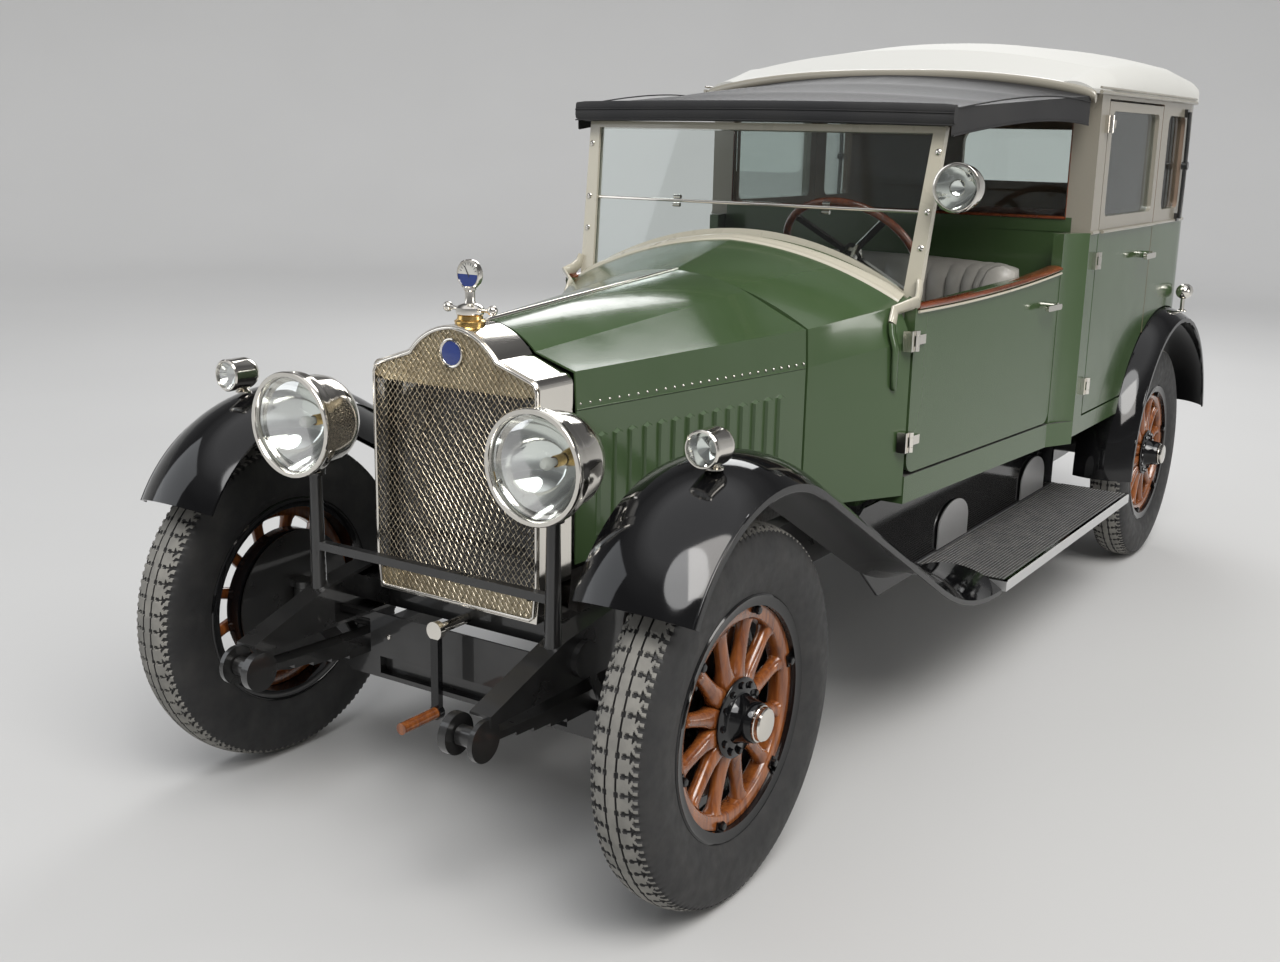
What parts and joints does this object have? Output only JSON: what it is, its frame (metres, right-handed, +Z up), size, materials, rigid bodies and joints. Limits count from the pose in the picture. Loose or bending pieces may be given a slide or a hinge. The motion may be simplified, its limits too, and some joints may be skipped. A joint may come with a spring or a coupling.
{
  "type": "vintage town car",
  "caption": "Vintage car with an open driver's seat under a folding head, a closed rear cabin, wood wheels, hinged doors and bonnet, and steering.",
  "frame": {"origin": "on the ground under the middle of the car", "axes": "+X towards the car's left side, -Y towards its front, +Z up"},
  "size_m": [1.616, 4.624, 1.9799],
  "materials": {
    "body_paint": "gloss",
    "black_paint": "gloss",
    "frame_paint": "satin",
    "nickel": "polished",
    "iron": "matte",
    "steel": "satin",
    "tyre": "matte",
    "wood": "gloss",
    "glass": "gloss",
    "roof_cloth": "matte",
    "canopy_cloth": "matte",
    "leather": "satin",
    "aluminium": "satin"
  },
  "bodies": {
    "car": {"body_tub": "body_paint", "canopy": "canopy_cloth", "chassis_frame": "frame_paint", "door_hinges": "nickel", "engine": "iron", "exhaust": "steel", "fixed_glass": "glass", "front_axle": "frame_paint", "front_fenders": "black_paint", "fuel_tank": "frame_paint", "headlamp_lenses": "glass", "headlamps": "nickel", "hood_irons": "nickel", "leaf_springs": "frame_paint", "number_plate": "black_paint", "radiator_cap": "nickel", "radiator_core": "iron", "radiator_shell": "nickel", "rear_axle": "frame_paint", "rear_cabin": "body_paint", "rear_fenders": "black_paint", "roof": "roof_cloth", "running_boards": "aluminium", "scuttle": "body_paint", "seats": "leather", "side_lamps": "nickel", "spare_rim": "frame_paint", "spare_tyre": "tyre", "splash_aprons": "black_paint", "starting_handle": "black_paint", "steering_column": "frame_paint", "stone_guard": "nickel", "windscreen_frame": "nickel"},
    "steering_wheel": {"steering_wheel": "wood"},
    "knuckle_left": {"knuckle_left": "frame_paint"},
    "knuckle_right": {"knuckle_right": "frame_paint"},
    "tie_rod": {"tie_rod": "frame_paint"},
    "driver_door_left": {"driver_door_left": "body_paint"},
    "driver_door_right": {"driver_door_right": "body_paint"},
    "rear_door_left": {"rear_door_left": "body_paint", "rear_door_glass_left": "glass"},
    "rear_door_right": {"rear_door_right": "body_paint", "rear_door_glass_right": "glass"},
    "bonnet_top_left": {"bonnet_top_left": "body_paint"},
    "bonnet_top_right": {"bonnet_top_right": "body_paint"},
    "bonnet_side_left": {"bonnet_side_left": "body_paint"},
    "bonnet_side_right": {"bonnet_side_right": "body_paint"},
    "wheel_front_left": {"wheel_front_left": "wood", "tyre_front_left": "tyre"},
    "wheel_front_right": {"wheel_front_right": "wood", "tyre_front_right": "tyre"},
    "wheel_rear_left": {"wheel_rear_left": "wood", "tyre_rear_left": "tyre"},
    "wheel_rear_right": {"wheel_rear_right": "wood", "tyre_rear_right": "tyre"}
  },
  "joints": [
    {"name": "steer_left", "type": "hinge", "parent": "car", "child": "knuckle_left", "pos_m": [0.575, -1.85, 0.42], "axis": [0, 0, 1], "range_deg": [-28, 28]},
    {"name": "steer_right", "type": "hinge", "parent": "car", "child": "knuckle_right", "pos_m": [-0.575, -1.85, 0.42], "axis": [0, 0, 1], "range_deg": [-28, 28]},
    {"name": "tie_rod_pivot", "type": "hinge", "parent": "knuckle_left", "child": "tie_rod", "pos_m": [0.575, -1.7, 0.339], "axis": [0, 0, 1], "range_deg": [-28, 28]},
    {"name": "steering_wheel_turn", "type": "hinge", "parent": "car", "child": "steering_wheel", "pos_m": [0.25, -0.41, 1.285], "axis": [0, 0.766, 0.6428], "range_deg": [-364, 364]},
    {"name": "roll_front_left", "type": "hinge", "parent": "knuckle_left", "child": "wheel_front_left", "pos_m": [0.673, -1.85, 0.42], "axis": [1, 0, 0], "continuous": true},
    {"name": "roll_front_right", "type": "hinge", "parent": "knuckle_right", "child": "wheel_front_right", "pos_m": [-0.673, -1.85, 0.42], "axis": [1, 0, 0], "continuous": true},
    {"name": "roll_rear_left", "type": "hinge", "parent": "car", "child": "wheel_rear_left", "pos_m": [0.673, 1.46, 0.42], "axis": [1, 0, 0], "continuous": true},
    {"name": "roll_rear_right", "type": "hinge", "parent": "car", "child": "wheel_rear_right", "pos_m": [-0.673, 1.46, 0.42], "axis": [1, 0, 0], "continuous": true},
    {"name": "driver_door_left_swing", "type": "hinge", "parent": "car", "child": "driver_door_left", "pos_m": [0.59635, -0.7089, 0.95], "axis": [0, 0, -1], "range_deg": [0, 70]},
    {"name": "rear_door_left_swing", "type": "hinge", "parent": "car", "child": "rear_door_left", "pos_m": [0.727, 0.496, 1.2], "axis": [0, 0, -1], "range_deg": [0, 70]},
    {"name": "bonnet_top_left_lift", "type": "hinge", "parent": "car", "child": "bonnet_top_left", "pos_m": [0, -1.8037, 1.2], "axis": [0, -0.9972, -0.0746], "range_deg": [0, 70]},
    {"name": "bonnet_side_left_fold", "type": "hinge", "parent": "bonnet_top_left", "child": "bonnet_side_left", "pos_m": [0.247, -1.798, 1.02], "axis": [-0.2049, -0.9786, -0.0173], "range_deg": [-70, 0]},
    {"name": "driver_door_right_swing", "type": "hinge", "parent": "car", "child": "driver_door_right", "pos_m": [-0.59635, -0.7089, 0.95], "axis": [0, 0, 1], "range_deg": [0, 70]},
    {"name": "rear_door_right_swing", "type": "hinge", "parent": "car", "child": "rear_door_right", "pos_m": [-0.727, 0.496, 1.2], "axis": [0, 0, 1], "range_deg": [0, 70]},
    {"name": "bonnet_top_right_lift", "type": "hinge", "parent": "car", "child": "bonnet_top_right", "pos_m": [0, -1.8037, 1.2], "axis": [0, 0.9972, 0.0746], "range_deg": [0, 70]},
    {"name": "bonnet_side_right_fold", "type": "hinge", "parent": "bonnet_top_right", "child": "bonnet_side_right", "pos_m": [-0.247, -1.798, 1.02], "axis": [-0.2049, 0.9786, 0.0173], "range_deg": [-70, 0]}
  ],
  "couplings": [
    {"joint": "steer_right", "follows": "steer_left", "ratio": 1},
    {"joint": "tie_rod_pivot", "follows": "steer_left", "ratio": -1},
    {"joint": "steering_wheel_turn", "follows": "steer_left", "ratio": 13},
    {"joint": "bonnet_side_left_fold", "follows": "bonnet_top_left_lift", "ratio": -1},
    {"joint": "bonnet_side_right_fold", "follows": "bonnet_top_right_lift", "ratio": -1}
  ]
}
